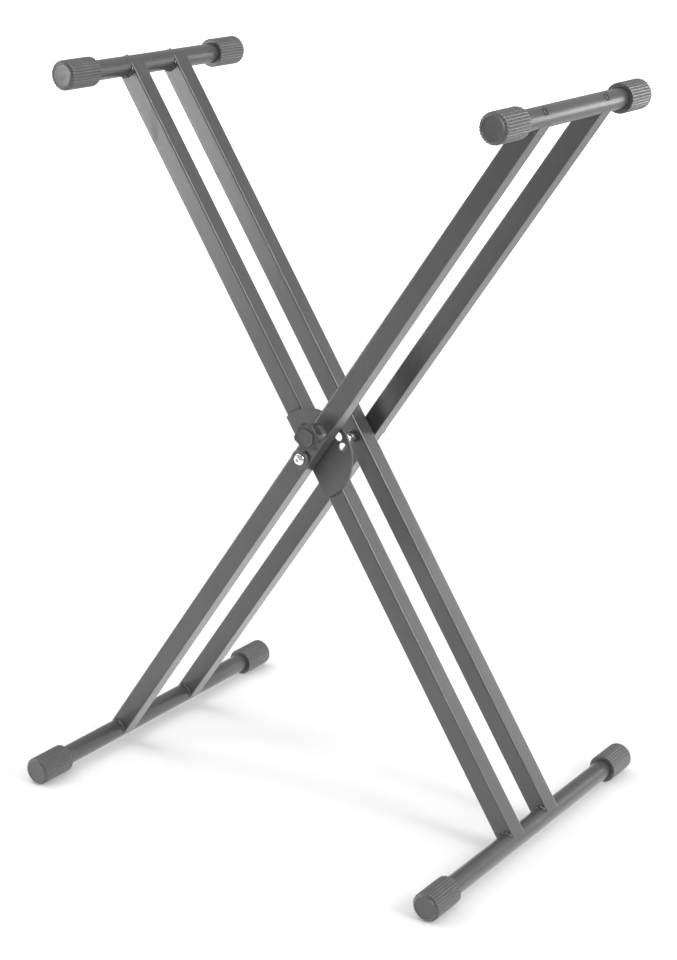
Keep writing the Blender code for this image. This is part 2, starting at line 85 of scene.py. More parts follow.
@dataclass(frozen=True)
class Level:
    """A socket that carries one number, and adds a Math node for each operator used on it."""

    graph: "Graph"
    socket: bpy.types.NodeSocket

    def math(self, operation: str, first: "Level | float", second: "Level | float") -> "Level":
        """Add one Math node and wrap its result."""
        made = self.graph.add("ShaderNodeMath", {"operation": operation}, {0: first, 1: second})
        return Level(self.graph, made.outputs[0])

    def __add__(self, other: "Level | float") -> "Level":
        """Sum."""
        return self.math("ADD", self, other)

    def __radd__(self, other: float) -> "Level":
        """Sum, the number first."""
        return self.math("ADD", other, self)

    def __sub__(self, other: "Level | float") -> "Level":
        """Difference."""
        return self.math("SUBTRACT", self, other)

    def __rsub__(self, other: float) -> "Level":
        """Difference, the number first."""
        return self.math("SUBTRACT", other, self)

    def __mul__(self, other: "Level | float") -> "Level":
        """Product."""
        return self.math("MULTIPLY", self, other)

    def __rmul__(self, other: float) -> "Level":
        """Product, the number first."""
        return self.math("MULTIPLY", other, self)

    def __pow__(self, other: float) -> "Level":
        """Power."""
        return self.math("POWER", self, other)

    def __gt__(self, other: "Level | float") -> "Level":
        """One where this is greater, nought elsewhere."""
        return self.math("GREATER_THAN", self, other)

    def or_more(self, other: "Level | float") -> "Level":
        """The greater of the two."""
        return self.math("MAXIMUM", self, other)

    def ramped(self, low: float, high: float) -> "Level":
        """Nought below low, one above high, and a smooth rise between them."""
        settings = {"interpolation_type": "SMOOTHSTEP"}
        made = self.graph.add("ShaderNodeMapRange", settings, {0: self, 1: low, 2: high})
        return Level(self.graph, made.outputs[0])


class Graph:
    """The node tree of one material."""

    def __init__(self, name: str) -> None:
        """Start an empty tree that reads Object coordinates.

        Args:
            name: the material's name.
        """
        self.material = bpy.data.materials.new(name)
        self.material.use_nodes = True
        self.tree = self.material.node_tree
        self.tree.nodes.clear()
        self.place = self.add("ShaderNodeTexCoord").outputs["Object"]

    def add(
        self,
        kind: str,
        settings: dict[str, object] | None = None,
        sockets: dict[int | str, object] | None = None,
    ) -> bpy.types.Node:
        """Add a node.

        Args:
            kind: the node's type.
            settings: its properties, set first; "stops" holds a ramp's (place, colour) pairs.
            sockets: a value, a Level or another node's socket for each input.

        Returns:
            The new node.
        """
        made = self.tree.nodes.new(kind)
        for key, value in (settings or {}).items():
            if key == "stops":
                ramp = made.color_ramp
                ramp.elements[0].position, ramp.elements[0].color = value[0]
                ramp.elements[1].position, ramp.elements[1].color = value[-1]
                for place, color in value[1:-1]:
                    ramp.elements.new(place).color = color
            else:
                setattr(made, key, value)
        for key, value in (sockets or {}).items():
            target = made.inputs[key]
            if isinstance(value, Level):
                self.tree.links.new(value.socket, target)
            elif isinstance(value, bpy.types.NodeSocket):
                self.tree.links.new(value, target)
            else:
                target.default_value = value
        return made

    def noise(self, scale: float, detail: float = 2.0, stretch: Sequence[float] = (1.0, 1.0, 1.0)) -> Level:
        """Noise over the piece.

        Args:
            scale: how many features there are to a metre.
            detail: how many finer layers are laid on it.
            stretch: how much finer the noise is along each axis.

        Returns:
            A level from about 0.2 to 0.8.
        """
        mapped = self.add("ShaderNodeMapping", None, {"Vector": self.place, "Scale": stretch})
        sockets = {"Vector": mapped.outputs[0], "Scale": scale, "Detail": detail}
        return Level(self, self.add("ShaderNodeTexNoise", None, sockets).outputs["Fac"])

    def cells(self, scale: float) -> Level:
        """Distance to the nearest of scattered points, for grain and pits."""
        made = self.add("ShaderNodeTexVoronoi", None, {"Vector": self.place, "Scale": scale})
        return Level(self, made.outputs["Distance"])

    def blend(self, share: Level, first: Sequence[float], second: Sequence[float]) -> bpy.types.NodeSocket:
        """Mix two colours by a level.

        Args:
            share: how much of the second colour shows.
            first: the colour at nought.
            second: the colour at one.

        Returns:
            The mixed colour's socket.
        """
        sockets = {0: share, 6: (*first, 1.0), 7: (*second, 1.0)}
        return self.add("ShaderNodeMix", {"data_type": "RGBA"}, sockets).outputs[2]

    def relief(self, height: Level, depth: float, strength: float = 1.0) -> bpy.types.NodeSocket:
        """Turn a height into a bumped normal.

        Args:
            height: the level that stands for height.
            depth: real height, in metres, of a level of one.
            strength: how much of the bump is used.

        Returns:
            The normal's socket.
        """
        sockets = {"Strength": strength, "Distance": depth, "Height": height}
        return self.add("ShaderNodeBump", None, sockets).outputs[0]

    def surface(self, sockets: dict[int | str, object]) -> bpy.types.Material:
        """Close the tree with a Principled shader.

        Args:
            sockets: the shader's inputs.

        Returns:
            The finished material.
        """
        shader = self.add("ShaderNodeBsdfPrincipled", None, sockets)
        self.add("ShaderNodeOutputMaterial", None, {"Surface": shader.outputs[0]})
        return self.material


@dataclass(frozen=True)
class Finish:
    """A finish that makes its material once and hands out the same one after that."""

    name: str

    def material(self) -> bpy.types.Material:
        """The material, made on first use."""
        return bpy.data.materials.get(self.name) or self.mixed(Graph(self.name))

    def mixed(self, graph: Graph) -> bpy.types.Material:
        """Build the node tree."""
        raise NotImplementedError


@dataclass(frozen=True)
class PowderCoat(Finish):
    """Charcoal powder coat: satin, with a fine orange peel and faint rubbed patches."""

    color: tuple[float, float, float] = (0.048, 0.048, 0.05)
    rubbed: tuple[float, float, float] = (0.085, 0.085, 0.088)
    peel_depth: float = 0.00002

    def mixed(self, graph: Graph) -> bpy.types.Material:
        """Colour drifts over centimetres, gloss over millimetres, and the peel is bump."""
        drift = graph.noise(9.0, 3.0).ramped(0.3, 0.75)
        speckle = graph.noise(1400.0, 2.0)
        scuffs = graph.noise(60.0, 5.0, (1.0, 1.0, 0.25)).ramped(0.58, 0.72)
        peel = graph.noise(520.0, 1.5) + speckle * 0.35
        shade = drift * 0.35 + speckle * 0.2 + scuffs * 0.25
        sockets = {
            "Base Color": graph.blend(shade, self.color, self.rubbed),
            "Roughness": 0.32 + speckle * 0.08 + scuffs * 0.06,
            "Coat Weight": 0.3 - scuffs * 0.15,
            "Coat Roughness": 0.22,
            "Normal": graph.relief(peel, self.peel_depth, 0.6),
        }
        return graph.surface(sockets)


@dataclass(frozen=True)
class CapRubber(Finish):
    """Moulded dark grey rubber: matt, finely grained, with a little dust held in the grain."""

    color: tuple[float, float, float] = (0.065, 0.065, 0.066)
    dusty: tuple[float, float, float] = (0.12, 0.12, 0.12)

    def mixed(self, graph: Graph) -> bpy.types.Material:
        """Grain in the bump, dust in the colour and in the gloss."""
        grain = graph.noise(2600.0, 2.0)
        dust = graph.noise(70.0, 4.0).ramped(0.45, 0.8)
        sockets = {
            "Base Color": graph.blend(dust * 0.35 + grain * 0.1, self.color, self.dusty),
            "Roughness": 0.42 + dust * 0.12,
            "Coat Weight": 0.2 - dust * 0.1,
            "Coat Roughness": 0.28,
            "Normal": graph.relief(grain, 0.000012, 0.4),
        }
        return graph.surface(sockets)


@dataclass(frozen=True)
class MouldedNylon(Finish):
    """Black moulded nylon with a spark-eroded grain."""

    color: tuple[float, float, float] = (0.022, 0.022, 0.023)
    worn: tuple[float, float, float] = (0.06, 0.06, 0.06)

    def mixed(self, graph: Graph) -> bpy.types.Material:
        """An even grain, and gloss that varies where hands have polished it."""
        grain = graph.cells(1800.0)
        polish = graph.noise(90.0, 4.0).ramped(0.4, 0.7)
        sockets = {
            "Base Color": graph.blend(polish * 0.4 + grain * 0.2, self.color, self.worn),
            "Roughness": 0.48 - polish * 0.16,
            "Normal": graph.relief(grain, 0.00003, 0.4),
        }
        return graph.surface(sockets)


@dataclass(frozen=True)
class PlatedSteel(Finish):
    """Plated steel: chrome, zinc or drawn wire, by its colour, gloss and the direction of its marks."""

    color: tuple[float, float, float] = (0.62, 0.63, 0.64)
    dull: tuple[float, float, float] = (0.42, 0.43, 0.44)
    gloss: float = 0.2
    spread: float = 0.18
    marks: tuple[float, float, float] = (1.0, 6.0, 1.0)

    def mixed(self, graph: Graph) -> bpy.types.Material:
        """Fine turning marks in the bump, and a blotched passivation in the colour and gloss."""
        marks = graph.noise(700.0, 3.0, self.marks)
        blotch = graph.noise(160.0, 4.0).ramped(0.35, 0.75)
        sockets = {
            "Base Color": graph.blend(blotch, self.color, self.dull),
            "Metallic": 1.0,
            "Roughness": self.gloss + blotch * self.spread,
            "Normal": graph.relief(marks, 0.00001, 0.35),
        }
        return graph.surface(sockets)


POWDER = PowderCoat("charcoal_powder_coat")
# Darker copy of the powder coat for the weld beads: painted shade, standing in for the shadow that falls on the
# seams.
SHADED_WELD = PowderCoat("weld_coat_painted_shade", (0.035, 0.035, 0.036), (0.06, 0.06, 0.06), 0.00009)
RUBBER = CapRubber("moulded_cap_rubber")
NYLON = MouldedNylon("black_nylon")
CUP = MouldedNylon("cup_nylon", color=(0.07, 0.07, 0.07), worn=(0.13, 0.13, 0.13))
KNOB_FACE = MouldedNylon("knob_cap_nylon", color=(0.05, 0.05, 0.052), worn=(0.08, 0.08, 0.08))
CHROME = PlatedSteel("bright_chrome", color=(0.7, 0.7, 0.71), dull=(0.6, 0.6, 0.61), gloss=0.2, spread=0.1)
ZINC = PlatedSteel("bright_zinc", color=(0.42, 0.43, 0.44), dull=(0.28, 0.29, 0.3), gloss=0.3, spread=0.15)
DARK_ZINC = PlatedSteel("dark_zinc", color=(0.16, 0.16, 0.165), dull=(0.08, 0.08, 0.085), gloss=0.3, spread=0.15)
WIRE = PlatedSteel("spring_wire", color=(0.4, 0.4, 0.41), dull=(0.28, 0.28, 0.28), gloss=0.25)


def softened(corners: Sequence[Corner], closed: bool = False, steps: int = 4) -> list[Point]:
    """Round the corners of an outline.

    Args:
        corners: (first, second, reach) of each corner, in millimetres; the round takes that reach of both sides.
        closed: whether the last corner joins the first.
        steps: how many facets each round has.

    Returns:
        The points of the rounded outline.
    """
    points: list[Point] = []
    count = len(corners)
    for i, (x, y, reach) in enumerate(corners):
        at_end = not closed and i in (0, count - 1)
        if reach <= 0.0 or at_end:
            points.append((x, y))
            continue
        here = Vector((x, y))
        before = Vector(corners[i - 1][:2])
        after = Vector(corners[(i + 1) % count][:2])
        start = here + (before - here).normalized() * reach
        end = here + (after - here).normalized() * reach
        for k in range(steps + 1):
            t = k / steps
            bend = start * (1 - t) ** 2 + here * 2 * t * (1 - t) + end * t**2
            points.append((bend.x, bend.y))
    return points


def arc(radius: float, first: float, last: float, steps: int) -> list[Point]:
    """Points of an arc about the origin, both ends included."""
    angles = (first + (last - first) * i / steps for i in range(steps + 1))
    return [(radius * math.cos(a), radius * math.sin(a)) for a in angles]


def hexagon(across: float) -> list[Point]:
    """Corners of a hexagon, given the distance across its flats."""
    reach = across / 2 / math.cos(math.pi / 6)
    return arc(reach, 0.0, math.tau * 5 / 6, 5)


class Form:
    """A mesh in the making, in millimetres, shaped by bmesh operators about the Y axis."""

    def __init__(self) -> None:
        """Start empty."""
        self.bm = bmesh.new()

    @classmethod
    def turned(cls, profile: Sequence[Point], steps: int = 72) -> "Form":
        """Spin an outline about Y.

        Args:
            profile: (radius, along) points, closed by itself unless it starts on the axis.
            steps: how many facets go round.

        Returns:
            The turned form.
        """
        form = cls()
        points = [form.bm.verts.new((radius, along, 0.0)) for radius, along in profile]
        edges = [form.bm.edges.new(pair) for pair in zip(points, points[1:])]
        if profile[0][0] > 0.0:
            edges.append(form.bm.edges.new((points[-1], points[0])))
        bmesh.ops.spin(
            form.bm,
            geom=points + edges,
            cent=(0.0, 0.0, 0.0),
            axis=(0.0, 1.0, 0.0),
            angle=math.tau,
            steps=steps,
            use_merge=True,
        )
        bmesh.ops.remove_doubles(form.bm, verts=form.bm.verts, dist=1e-4)
        return form

    @classmethod
    def extruded(cls, outline: Sequence[Point], start: float, end: float) -> "Form":
        """Push an outline along Y.

        Args:
            outline: (x, z) points of the face.
            start: where the face stands.
            end: how far it is pushed.

        Returns:
            The extruded form.
        """
        form = cls()
        face = form.bm.faces.new([form.bm.verts.new((x, start, z)) for x, z in outline])
        grown = bmesh.ops.extrude_face_region(form.bm, geom=[face])["geom"]
        moved = [item for item in grown if isinstance(item, bmesh.types.BMVert)]
        bmesh.ops.translate(form.bm, vec=(0.0, end - start, 0.0), verts=moved)
        return form

    @classmethod
    def piped(cls, outlines: Sequence[Sequence[Point]], length: float) -> "Form":
        """Push the ring between two outlines along Z, from half the length below to half above.

        Args:
            outlines: the outer and the inner outline, as (x, y) points.
            length: how long the pipe is.

        Returns:
            The pipe.
        """
        form = cls()
        edges = []
        for outline in outlines:
            points = [form.bm.verts.new((x, y, -length / 2)) for x, y in outline]
            edges += [form.bm.edges.new(pair) for pair in zip(points, points[1:] + points[:1])]
        wall = bmesh.ops.bridge_loops(form.bm, edges=edges)["faces"]
        grown = bmesh.ops.extrude_face_region(form.bm, geom=wall)["geom"]
        moved = [item for item in grown if isinstance(item, bmesh.types.BMVert)]
        bmesh.ops.translate(form.bm, vec=(0.0, 0.0, length), verts=moved)
        return form

    def moved(self, matrix: Matrix) -> "Form":
        """Carry the form by a matrix."""
        bmesh.ops.transform(self.bm, matrix=matrix, verts=self.bm.verts)
        return self

    def bent(self, rule: Callable[[Vector], Vector]) -> "Form":
        """Move every vertex by a rule."""
        for vertex in self.bm.verts:
            vertex.co = rule(vertex.co)
        return self

    def bevelled(self, width: float, segments: int = 3, least: float = 40.0) -> "Form":
        """Round the edges that are sharper than an angle.

        Args:
            width: how far the round reaches.
            segments: its facets.
            least: the angle, in degrees, from which an edge counts as sharp.

        Returns:
            The same form.
        """
        limit = math.radians(least)
        bmesh.ops.recalc_face_normals(self.bm, faces=self.bm.faces)
        edges = [edge for edge in self.bm.edges if edge.calc_face_angle(0.0) > limit]
        bmesh.ops.bevel(
            self.bm,
            geom=edges,
            offset=width,
            segments=segments,
            profile=0.5,
            affect="EDGES",
            clamp_overlap=True,
            material=-1,
        )
        return self

    def _scratch(self, name: str) -> bpy.types.Object:
        """A passing object that holds the form for a Boolean."""
        mesh = bpy.data.meshes.new(name)
        bmesh.ops.recalc_face_normals(self.bm, faces=self.bm.faces)
        self.bm.to_mesh(mesh)
        made = bpy.data.objects.new(name, mesh)
        bpy.context.scene.collection.objects.link(made)
        return made

    def combined(self, operation: str, *others: "Form") -> "Form":
        """Cut by, keep the overlap with, or join other forms.

        Args:
            operation: DIFFERENCE, INTERSECT or UNION.
            others: the other forms, in turn.

        Returns:
            The new form.
        """
        body = self._scratch("blank")
        tools = [other._scratch("tool") for other in others]
        for tool in tools:
            step = body.modifiers.new("boolean", "BOOLEAN")
            step.operation = operation
            step.solver = "EXACT"
            step.object = tool
        held = body.evaluated_get(bpy.context.evaluated_depsgraph_get())
        result = Form()
        result.bm.from_mesh(held.to_mesh())
        held.to_mesh_clear()
        for item in (body, *tools):
            bpy.data.objects.remove(item, do_unlink=True)
        return result

    def piece(
        self,
        name: str,
        body: str,
        finish: Finish,
        slot: Slot,
        replaces: Sequence[str] = (),
        crease: float = 32.0,
    ) -> bpy.types.Object:
        """Make the finished piece, its place in its mesh.

        Args:
            name: the piece's name.
            body: the CAD body that it rides on.
            finish: its finish.
            slot: the record's material slot; not used.
            replaces: the CAD nodes that it stands for.
            crease: the angle, in degrees, from which an edge is drawn sharp.

        Returns:
            The piece.
        """
        bmesh.ops.scale(self.bm, vec=(MM, MM, MM), verts=self.bm.verts)
        bmesh.ops.recalc_face_normals(self.bm, faces=self.bm.faces)
        mesh = bpy.data.meshes.new(name)
        self.bm.to_mesh(mesh)
        self.bm.free()
        mesh.shade_smooth()
        mesh.set_sharp_from_angle(angle=math.radians(crease))
        mesh.materials.append(finish.material())
        made = bpy.data.objects.new(name, mesh)
        bpy.context.scene.collection.objects.link(made)
        even = made.modifiers.new("even_shading", "WEIGHTED_NORMAL")
        even.keep_sharp = True
        seated(made, body, replaces)
        return made


def seated(made: bpy.types.Object, body: str, replaces: Sequence[str] = ()) -> None:
    """Hang a piece on its body and hide the CAD nodes that it stands for.

    Args:
        made: the piece.
        body: the CAD body that it rides on.
        replaces: the CAD nodes that it stands for.
    """
    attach(made, body)
    if replaces:
        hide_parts(*replaces)
    LOG.info("%s rides on %s", made.name, body)


@dataclass(frozen=True)
class Place:
    """Where a CAD node is, in millimetres."""

    low: Vector
    high: Vector

    @classmethod
    def of(cls, node: str) -> "Place":
        """Read a node's corners from the frame."""
        low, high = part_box(node)
        return cls(low / MM, high / MM)

    @property
    def middle(self) -> Vector:
        """The node's centre."""
        return (self.low + self.high) / 2

    @property
    def depth(self) -> float:
        """The node's length along Y."""
        return self.high.y - self.low.y

    @property
    def radius(self) -> float:
        """Half the node's width along X."""
        return (self.high.x - self.low.x) / 2

    def seat(self, facing: Facing) -> Matrix:
        """Frame whose Y runs inwards from the node's outer face.

        Args:
            facing: the side that the outer face is on.

        Returns:
            The matrix that carries a form there.
        """
        if facing is Facing.FRONT:
            return Matrix.Translation((self.middle.x, self.low.y, self.middle.z))
        here = Matrix.Translation((self.middle.x, self.high.y, self.middle.z))
        return here @ Matrix.Rotation(math.pi, 4, "Z")


@dataclass(frozen=True)
class LegTube:
    """Square tube leg, its ends coped over the crossbars."""

    side: float = 25.4
    wall: float = 1.5
    corner: float = 1.8
    corner_steps: int = 6
    side_steps: int = 10
    bar_radius: float = 12.55
    bolt_hole: float = 4.5

    def outline(self, inset: float) -> list[Point]:
        """Rounded square, with points across its flats for the cope.

        Args:
            inset: how far the outline lies inside the outer skin.

        Returns:
            Its (x, y) points.
        """
        half = self.side / 2 - inset
        corner = self.corner - inset
        straight = half - corner
        points: list[Point] = []
        for quarter in range(4):
            turn = Matrix.Rotation(math.pi / 2 * quarter, 2)
            flat = [(half, -straight + 2 * straight * i / self.side_steps) for i in range(self.side_steps)]
            bend = arc(corner, 0.0, math.pi / 2, self.corner_steps)[:-1]
            rounded = [(x + straight, y + straight) for x, y in bend]
            points += [tuple(turn @ Vector(point)) for point in flat + rounded]
        return points

    def cope(self, x: float) -> float:
        """How far the tube's end stands back from the bar's axis at a place across the leg."""
        return math.sqrt(max(self.bar_radius**2 - x**2, 0.0))

    def form(self, length: float) -> Form:
        """The leg along Z about its middle.

        Args:
            length: distance between the two bars' axes.

        Returns:
            The coped tube, drilled for the pivot bolt.
        """
        end = length / 2

        def coped(point: Vector) -> Vector:
            """Draw an end vertex back to the bar."""
            reach = end - self.cope(point.x)
            return Vector((point.x, point.y, math.copysign(reach, point.z)))

        tube = Form.piped((self.outline(0.0), self.outline(self.wall)), length).bent(coped)
        drill = Form.turned([(0.0, -self.side), (self.bolt_hole, -self.side), (self.bolt_hole, self.side), (0.0, self.side)], 40)
        return tube.combined("DIFFERENCE", drill)


@dataclass(frozen=True)
class WeldBead:
    """A rippled weld bead laid along a path, as a thick line of varying radius."""

    radius: float = 2.1
    ripple: float = 0.35
    pitch: float = 3.1
    wander: float = 0.45
    end_share: float = 0.4

    def lay(self, name: str, body: str, path: Sequence[Vector], seed: int) -> bpy.types.Object:
        """Lay the bead.

        Args:
            name: the piece's name.
            body: the CAD body that it rides on.
            path: points along the seam, in millimetres.
            seed: what its unevenness is drawn from.

        Returns:
            The bead.
        """
        drawn = random.Random(seed)
        curve = bpy.data.curves.new(name, "CURVE")
        curve.dimensions = "3D"
        curve.bevel_depth = self.radius * MM
        curve.bevel_resolution = 3
        curve.use_fill_caps = True
        line = curve.splines.new("POLY")
        line.points.add(len(path) - 1)
        travelled = 0.0
        last = path[0]
        for knot, point in zip(line.points, path):
            travelled += (point - last).length
            last = point
            wave = math.sin(math.tau * travelled / self.pitch)
            stray = Vector([drawn.uniform(-1.0, 1.0) for _ in range(3)]) * self.wander
            knot.co = (*((point + stray) * MM), 1.0)
            knot.radius = 1.0 + self.ripple * wave + drawn.uniform(-0.1, 0.1)
        line.points[0].radius *= self.end_share
        line.points[-1].radius *= self.end_share
        # The bead's coat is darker than the frame's: painted shade on the seam.
        curve.materials.append(SHADED_WELD.material())
        scratch = bpy.data.objects.new(f"{name}_line", curve)
        bpy.context.scene.collection.objects.link(scratch)
        mesh = bpy.data.meshes.new_from_object(scratch.evaluated_get(bpy.context.evaluated_depsgraph_get()))
        bpy.data.objects.remove(scratch, do_unlink=True)
        mesh.name = name
        mesh.shade_smooth()
        made = bpy.data.objects.new(name, mesh)
        bpy.context.scene.collection.objects.link(made)
        seated(made, body)
        return made


@dataclass(frozen=True)
class CrossBar:
    """Round tube crossbar with softened ends."""

    radius: float = 12.5
    wall: float = 1.5
    edge: float = 0.4

    def build(self, node: str, body: str) -> None:
        """Stand in for the CAD bar.

        Args:
            node: the bar's CAD node.
            body: the CAD body that it rides on.
        """
        place = Place.of(node)
        inner = self.radius - self.wall
        corners = [
            (self.radius, 0.0, self.edge),
            (self.radius, place.depth, self.edge),
            (inner, place.depth, 0.0),
            (inner, 0.0, 0.0),
        ]
        form = Form.turned(softened(corners, closed=True), 96).moved(place.seat(Facing.FRONT))
        form.piece(f"{node}_tube", body, POWDER, Slot.FRAME, [node])


@dataclass(frozen=True)
class RibbedCap:
    """Push-on rubber cap: fluted skirt and chamfer, and a disc in the closed end inside a raised lip."""

    ribs: int = 28
    steps_per_rib: int = 8
    flute: float = 0.8
    rib_flatness: float = 2.6
    bore: float = 12.7
    base: float = 5.0
    rim: float = 4.0
    chamfer: float = 3.0
    lip_width: float = 0.9
    lip_height: float = 0.6
    dish: float = 0.3

    def profile(self, radius: float, depth: float) -> list[Point]:
        """Outline from the middle of the closed end, over the skirt and into the bore.

        Args:
            radius: the skirt's radius over its ribs.
            depth: the cap's length.

        Returns:
            (radius, along) points.
        """
        disc = radius - self.rim
        low = self.lip_height
        corners = [
            (0.0, low + self.dish, 0.0),
            (disc * 0.6, low + self.dish * 0.6, 1.0),
            (disc - self.lip_width - 0.3, low, 0.3),
            (disc - self.lip_width, 0.0, 0.2),
            (disc, 0.0, 0.25),
            (disc + 0.3, low, 0.2),
            (radius, self.chamfer, 0.9),
            (radius, depth, 0.8),
            (self.bore, depth, 0.4),
            (self.bore, self.base, 0.4),
            (0.0, self.base, 0.0),
        ]
        return softened(corners, steps=3)

    def build(self, node: str, body: str, facing: Facing) -> None:
        """Stand in for the CAD cap.

        Args:
            node: the cap's CAD node.
            body: the CAD body that it rides on.
            facing: the side that its closed end looks to.
        """
        place = Place.of(node)
        radius = place.radius
        steps = self.ribs * self.steps_per_rib

        def fluted(point: Vector) -> Vector:
            """Draw the skirt in between the ribs."""
            reach = math.hypot(point.x, point.z)
            near_skirt = min(max((reach - radius + self.rim) / self.rim, 0.0), 1.0)
            if near_skirt == 0.0:
                return point
            wave = 0.5 - 0.5 * math.cos(self.ribs * math.atan2(point.z, point.x))
            share = (reach - self.flute * near_skirt * wave**self.rib_flatness) / reach
            return Vector((point.x * share, point.y, point.z * share))

        form = Form.turned(self.profile(radius, place.depth), steps).bent(fluted)
        form.moved(place.seat(facing)).piece(f"{node}_rubber", body, RUBBER, Slot.RUBBER, [node], 50.0)


@dataclass(frozen=True)
class BarScrew:
    """Button-head screw with a hexagon socket, standing on the bar's upper side."""

    head_height: float = 0.5
    head_radius: float = 5.5
    flat_radius: float = 3.4
    socket: float = 5.0
    socket_depth: float = 1.3
    skirt: float = 1.2
    bar_radius: float = 12.8

    def build(self, node: str, bar: str, body: str) -> None:
        """Stand in for the CAD screw.

        Args:
            node: the screw's CAD node.
            bar: the CAD node of the bar that it stands on.
            body: the CAD body that it rides on.
        """
        axis = Place.of(bar).middle
        place = Place.of(node).middle
        out = Vector((place.x - axis.x, 0.0, place.z - axis.z)).normalized()
        spot = Vector((axis.x, place.y, axis.z)) + out * (self.bar_radius + self.head_height)
        turn = Vector((0.0, -1.0, 0.0)).rotation_difference(out).to_matrix().to_4x4()
        corners = [
            (0.0, 0.0, 0.0),
            (self.flat_radius, 0.0, 0.3),
            (self.head_radius, self.head_height * 0.55, 1.2),
            (self.head_radius - 0.1, self.head_height, 0.3),
            (self.head_radius - 0.9, self.head_height + self.skirt, 0.0),
            (0.0, self.head_height + self.skirt, 0.0),
        ]
        head = Form.turned(softened(corners, steps=6), 60)
        key = Form.extruded(hexagon(self.socket), -1.0, self.socket_depth)
        head = head.combined("DIFFERENCE", key)
        head.moved(Matrix.Translation(spot) @ turn).piece(f"{node}_head", body, POWDER, Slot.FRAME, [node])


@dataclass(frozen=True)
class Brace:
    """One double frame: a top bar and a foot bar joined by two legs, with welds, caps and screws."""

    body: str
    word: str
    top: str
    foot: str
    tube: LegTube = LegTube()
    bar: CrossBar = CrossBar()
    cap: RibbedCap = RibbedCap()
    screw: BarScrew = BarScrew()
    bead: WeldBead = WeldBead()

    def build(self) -> None:
        """Build the frame from its bars outwards."""
        top_bar, foot_bar = f"{self.top}_bar", f"{self.foot}_bar"
        for node in (top_bar, foot_bar):
            self.bar.build(node, self.body)
        top = Place.of(top_bar).middle
        foot = Place.of(foot_bar).middle
        for facing in Facing:
            self.leg(f"{facing.value}_{self.word}_leg", top, foot)
            for word in (self.top, self.foot):
                self.cap.build(f"{word}_cap_{facing.value}", self.body, facing)
            self.screw.build(f"{self.top}_screw_{facing.value}", top_bar, self.body)

    def leg(self, node: str, top: Vector, foot: Vector) -> None:
        """Build one leg with its two seams.

        Args:
            node: the leg's CAD node.
            top: the top bar's middle.
            foot: the foot bar's middle.
        """
        plane = Place.of(node).middle.y
        span = top - foot
        middle = (top + foot) / 2
        up = span.normalized()
        turn = Vector((0.0, 0.0, 1.0)).rotation_difference(up).to_matrix().to_4x4()
        here = Matrix.Translation((middle.x, plane, middle.z)) @ turn
        form = self.tube.form(span.length).moved(here)
        form.piece(f"{node}_tube", self.body, POWDER, Slot.FRAME, [node], 40.0)
        half = self.tube.side / 2
        for end, along in (("top", 1.0), ("foot", -1.0)):
            for face, side in (("front", -1.0), ("rear", 1.0)):
                path = []
                for i in range(25):
                    x = half * 0.84 * (i / 12 - 1.0)
                    reach = span.length / 2 - self.tube.cope(x)
                    path.append(here @ Vector((x, side * half, along * reach)))
                seed = sum(ord(letter) for letter in node + end + face)
                self.bead.lay(f"{node}_{end}_weld_{face}", self.body, path, seed)


